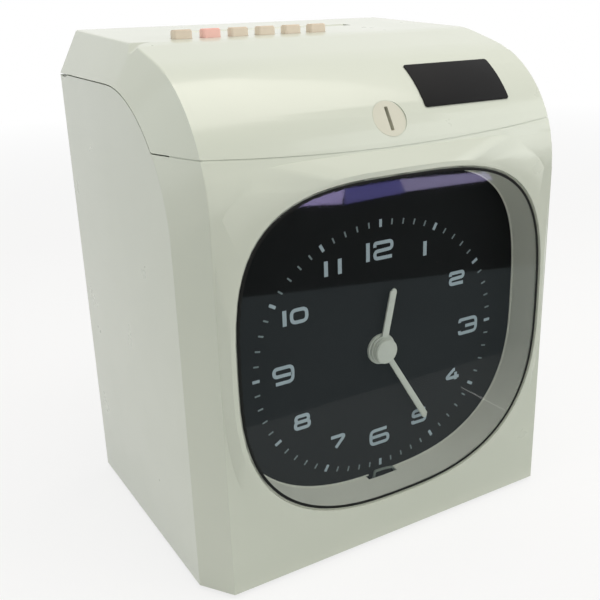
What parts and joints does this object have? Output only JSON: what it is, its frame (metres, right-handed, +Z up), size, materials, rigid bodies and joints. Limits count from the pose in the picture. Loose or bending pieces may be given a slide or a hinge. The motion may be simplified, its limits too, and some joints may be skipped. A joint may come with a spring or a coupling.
{
  "type": "time clock",
  "caption": "Time recorder with an analogue dial behind a rounded window, a hinged and locked top cover, function keys and a card slot.",
  "frame": {"origin": "centre of the bounding box footprint, on the surface the feet stand on", "axes": "+Z up, the dial faces -Y, +X to the right as seen from the front"},
  "size_m": [0.202, 0.148, 0.242],
  "materials": {
    "black_plastic": "satin",
    "board_green": "satin",
    "brass": "satin",
    "cell_wrap": "satin",
    "core": "matt",
    "dial": "satin",
    "gear_plastic": "satin",
    "guide_plastic": "satin",
    "hand": "satin",
    "housing": "gloss",
    "key_plain": "satin",
    "key_red": "satin",
    "lens": "gloss",
    "liner": "satin",
    "movement": "satin",
    "rubber": "matt",
    "steel": "satin",
    "zinc_sheet": "satin"
  },
  "bodies": {
    "housing": {"base_shell": "housing", "rear_panel": "housing", "rear_screws": "steel", "feet": "rubber", "window_lens": "lens", "bezel_liner": "liner", "dial_plate": "dial", "dial_screws": "steel", "movement_plate": "movement", "movement_cover": "movement", "centre_nut": "hand", "step_motor": "black_plastic", "hinge_pins": "steel", "lock_catch": "zinc_sheet", "chassis": "zinc_sheet", "chassis_screws": "steel", "card_guide_front": "guide_plastic", "card_guide_rear": "guide_plastic", "platen_bar": "rubber", "feed_motor": "steel", "guide_rod": "steel", "carriage_motor": "steel", "ribbon_cassette": "black_plastic", "main_board": "board_green", "transformer": "core", "battery_pack": "cell_wrap", "buzzer": "black_plastic", "cord_gland": "rubber"},
    "minute": {"minute_arbor": "brass", "minute_hand": "hand", "hand_cap": "hand"},
    "minute_wheel": {"minute_wheel": "brass"},
    "hour": {"hour_wheel": "brass", "hour_hand": "hand"},
    "motor_pinion": {"motor_pinion": "brass"},
    "cover": {"top_cover": "housing", "key_board": "board_green"},
    "lock": {"lock_barrel": "housing", "lock_cam": "steel", "lock_nut": "steel"},
    "key_1": {"key_1": "key_plain"},
    "key_2": {"key_2": "key_red"},
    "key_3": {"key_3": "key_plain"},
    "key_4": {"key_4": "key_plain"},
    "key_5": {"key_5": "key_plain"},
    "key_6": {"key_6": "key_plain"},
    "feed_roller": {"feed_roller": "rubber", "feed_gear": "gear_plastic"},
    "pinch_roller": {"pinch_roller": "rubber"},
    "feed_pinion": {"feed_pinion": "brass"},
    "lead_screw": {"lead_screw": "steel", "screw_gear": "gear_plastic"},
    "carriage_pinion": {"carriage_pinion": "brass"},
    "carriage": {"print_carriage": "black_plastic", "print_head": "black_plastic"},
    "ribbon_knob": {"ribbon_knob": "gear_plastic"}
  },
  "joints": [
    {"name": "minute_turn", "type": "hinge", "parent": "housing", "child": "minute", "pos_m": [0, -0.06, 0.0945], "axis": [0, 1, 0], "continuous": true},
    {"name": "hour_turn", "type": "hinge", "parent": "housing", "child": "hour", "pos_m": [0, -0.058, 0.0945], "axis": [0, 1, 0], "continuous": true},
    {"name": "minute_wheel_turn", "type": "hinge", "parent": "housing", "child": "minute_wheel", "pos_m": [0.015, -0.05, 0.0945], "axis": [0, 1, 0], "continuous": true},
    {"name": "motor_pinion_turn", "type": "hinge", "parent": "housing", "child": "motor_pinion", "pos_m": [-0.01237, -0.044, 0.08213], "axis": [0, 1, 0], "continuous": true},
    {"name": "cover_hinge", "type": "hinge", "parent": "housing", "child": "cover", "pos_m": [0, 0.068, 0.2353], "axis": [-1, 0, 0], "range_deg": [0, 75]},
    {"name": "lock_turn", "type": "hinge", "parent": "cover", "child": "lock", "pos_m": [0, -0.06269, 0.203], "axis": [0, 0.8615, -0.5078], "range_deg": [0, 90]},
    {"name": "key_1_press", "type": "slide", "parent": "cover", "child": "key_1", "axis": [0, 0, -1], "range_m": [0, 0.002], "stiffness_N_per_m": 300},
    {"name": "key_2_press", "type": "slide", "parent": "cover", "child": "key_2", "axis": [0, 0, -1], "range_m": [0, 0.002], "stiffness_N_per_m": 300},
    {"name": "key_3_press", "type": "slide", "parent": "cover", "child": "key_3", "axis": [0, 0, -1], "range_m": [0, 0.002], "stiffness_N_per_m": 300},
    {"name": "key_4_press", "type": "slide", "parent": "cover", "child": "key_4", "axis": [0, 0, -1], "range_m": [0, 0.002], "stiffness_N_per_m": 300},
    {"name": "key_5_press", "type": "slide", "parent": "cover", "child": "key_5", "axis": [0, 0, -1], "range_m": [0, 0.002], "stiffness_N_per_m": 300},
    {"name": "key_6_press", "type": "slide", "parent": "cover", "child": "key_6", "axis": [0, 0, -1], "range_m": [0, 0.002], "stiffness_N_per_m": 300},
    {"name": "feed_turn", "type": "hinge", "parent": "housing", "child": "feed_roller", "pos_m": [0, 0.02875, 0.206], "axis": [1, 0, 0], "continuous": true},
    {"name": "pinch_turn", "type": "hinge", "parent": "housing", "child": "pinch_roller", "pos_m": [0, 0.04275, 0.206], "axis": [1, 0, 0], "continuous": true},
    {"name": "feed_pinion_turn", "type": "hinge", "parent": "housing", "child": "feed_pinion", "pos_m": [-0.066, 0.01835, 0.18799], "axis": [1, 0, 0], "continuous": true},
    {"name": "screw_turn", "type": "hinge", "parent": "housing", "child": "lead_screw", "pos_m": [0, 0.01, 0.168], "axis": [1, 0, 0], "range_deg": [-1175, 1175]},
    {"name": "carriage_slide", "type": "slide", "parent": "housing", "child": "carriage", "axis": [1, 0, 0], "range_m": [-0.026, 0.026]},
    {"name": "carriage_pinion_turn", "type": "hinge", "parent": "housing", "child": "carriage_pinion", "pos_m": [0.066, -0.00188, 0.15612], "axis": [1, 0, 0], "range_deg": [-2950, 2950]},
    {"name": "ribbon_knob_turn", "type": "hinge", "parent": "housing", "child": "ribbon_knob", "pos_m": [-0.038, -0.022, 0.205], "axis": [0, 0, 1], "continuous": true}
  ],
  "couplings": [
    {"joint": "hour_turn", "follows": "minute_turn", "ratio": 0.083333},
    {"joint": "minute_wheel_turn", "follows": "minute_turn", "ratio": -0.33333},
    {"joint": "motor_pinion_turn", "follows": "minute_turn", "ratio": -6},
    {"joint": "pinch_turn", "follows": "feed_turn", "ratio": -1.0769},
    {"joint": "feed_pinion_turn", "follows": "feed_turn", "ratio": -3.3333},
    {"joint": "screw_turn", "follows": "carriage_slide", "rad_per_m": 785.4},
    {"joint": "carriage_pinion_turn", "follows": "carriage_slide", "rad_per_m": -1963.5}
  ]
}
